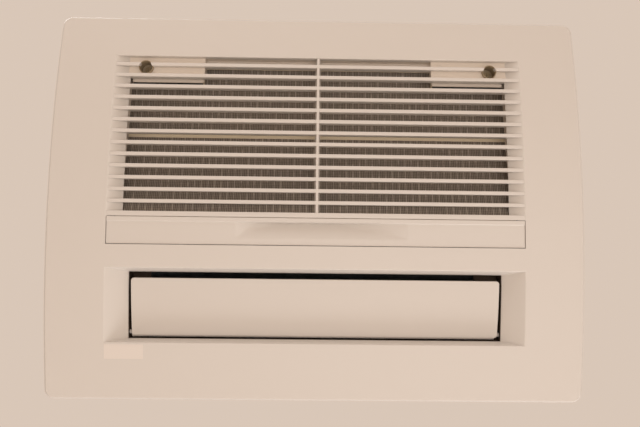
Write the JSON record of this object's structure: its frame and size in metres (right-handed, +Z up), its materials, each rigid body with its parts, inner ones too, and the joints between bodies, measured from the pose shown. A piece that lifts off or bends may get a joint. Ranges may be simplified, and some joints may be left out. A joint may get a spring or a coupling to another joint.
{
  "type": "heat recovery unit",
  "caption": "Ceiling-recessed heat recovery ventilator with a domed room panel, slatted intake grille with pull-out filter, outlet flap, two fans, exchanger core and duct spigots.",
  "frame": {"origin": "centre of the room panel on the ceiling plane", "axes": "+Z up into the ceiling, +X towards the duct spigots, +Y from the intake grille towards the outlet flap"},
  "size_m": [0.626, 0.454, 0.26],
  "materials": {
    "panel_plastic": "satin",
    "galvanised_sheet": "satin",
    "filter_plastic": "satin",
    "filter_net": "matte",
    "exchanger_paper": "matte",
    "filter_paper": "matte",
    "foam": "matte",
    "white_foam": "matte",
    "grey_plastic": "satin",
    "rubber_bearing": "matte",
    "motor_case": "satin",
    "bright_steel": "satin",
    "shutter_aluminium": "satin",
    "white_plastic": "satin",
    "circuit_board": "satin",
    "black_plastic": "satin",
    "label_film": "satin"
  },
  "bodies": {
    "housing": {"casing_top": "galvanised_sheet", "casing_side_walls": "galvanised_sheet", "casing_end_ducts": "galvanised_sheet", "casing_end_wiring": "galvanised_sheet", "hanger_brackets": "galvanised_sheet", "hanger_screws": "bright_steel", "end_bulkhead": "galvanised_sheet", "compartment_floor": "galvanised_sheet", "return_partition": "galvanised_sheet", "exhaust_partition": "galvanised_sheet", "bottom_divider": "galvanised_sheet", "top_core_rail": "galvanised_sheet", "core_seals": "foam", "core_end_pads": "foam", "core_blocks": "exchanger_paper", "outdoor_filter": "filter_paper", "outdoor_plenum_liner": "white_foam", "scroll_guide": "grey_plastic", "scroll_tongue": "grey_plastic", "scroll_end_plate": "grey_plastic", "fan_bearing": "rubber_bearing", "supply_fan_motor": "motor_case", "supply_motor_screws": "bright_steel", "exhaust_scroll": "grey_plastic", "exhaust_fan_motor": "motor_case", "outdoor_spigot": "white_plastic", "exhaust_spigot": "white_plastic", "spigot_screws": "bright_steel", "outdoor_shutter_pin": "bright_steel", "exhaust_shutter_pin": "bright_steel", "control_box": "galvanised_sheet", "control_box_lid": "galvanised_sheet", "control_lid_screws": "bright_steel", "control_board": "circuit_board", "terminal_block": "white_plastic", "cable_gland": "black_plastic", "front_panel": "panel_plastic", "panel_tabs": "galvanised_sheet", "panel_screws": "bright_steel", "ceiling_gasket": "foam", "intake_grille": "panel_plastic", "filter_rails": "panel_plastic", "outlet_chute": "panel_plastic", "flap_bush": "white_plastic", "flap_motor": "motor_case", "divider_seal": "foam", "room_sensor": "white_plastic", "blank_label": "label_film"},
    "filter": {"filter_frame": "filter_plastic", "filter_mesh": "filter_net", "filter_handle": "panel_plastic"},
    "flap": {"outlet_flap": "panel_plastic"},
    "supply_fan": {"supply_impeller": "grey_plastic", "supply_shaft": "bright_steel"},
    "exhaust_fan": {"exhaust_impeller": "grey_plastic", "exhaust_shaft": "bright_steel"},
    "outdoor_leaf_left": {"outdoor_shutter_left": "shutter_aluminium"},
    "outdoor_leaf_right": {"outdoor_shutter_right": "shutter_aluminium"},
    "exhaust_leaf_left": {"exhaust_shutter_left": "shutter_aluminium"},
    "exhaust_leaf_right": {"exhaust_shutter_right": "shutter_aluminium"}
  },
  "joints": [
    {"name": "filter_draw", "type": "hinge", "parent": "housing", "child": "filter", "pos_m": [0, -0.18173, -0.58795], "axis": [-1, 0, 0], "range_deg": [0, 19]},
    {"name": "flap_tilt", "type": "hinge", "parent": "housing", "child": "flap", "pos_m": [0, 0.146, 0.0018], "axis": [1, 0, 0], "range_deg": [-9, 75]},
    {"name": "supply_fan_spin", "type": "hinge", "parent": "housing", "child": "supply_fan", "pos_m": [0, 0.12995, 0.062], "axis": [1, 0, 0], "continuous": true},
    {"name": "exhaust_fan_spin", "type": "hinge", "parent": "housing", "child": "exhaust_fan", "pos_m": [0.1908, 0.105, 0.172], "axis": [0, 0, 1], "continuous": true},
    {"name": "outdoor_left_swing", "type": "hinge", "parent": "housing", "child": "outdoor_leaf_left", "pos_m": [0.322, -0.135, 0.172], "axis": [0, 0, -1], "range_deg": [0, 75], "stiffness_Nm_per_rad": 0.002},
    {"name": "outdoor_right_swing", "type": "hinge", "parent": "housing", "child": "outdoor_leaf_right", "pos_m": [0.322, -0.135, 0.172], "axis": [0, 0, 1], "range_deg": [0, 75], "stiffness_Nm_per_rad": 0.002},
    {"name": "exhaust_left_swing", "type": "hinge", "parent": "housing", "child": "exhaust_leaf_left", "pos_m": [0.274, 0.135, 0.172], "axis": [0, 0, 1], "range_deg": [0, 75], "stiffness_Nm_per_rad": 0.002},
    {"name": "exhaust_right_swing", "type": "hinge", "parent": "housing", "child": "exhaust_leaf_right", "pos_m": [0.274, 0.135, 0.172], "axis": [0, 0, -1], "range_deg": [0, 75], "stiffness_Nm_per_rad": 0.002}
  ]
}
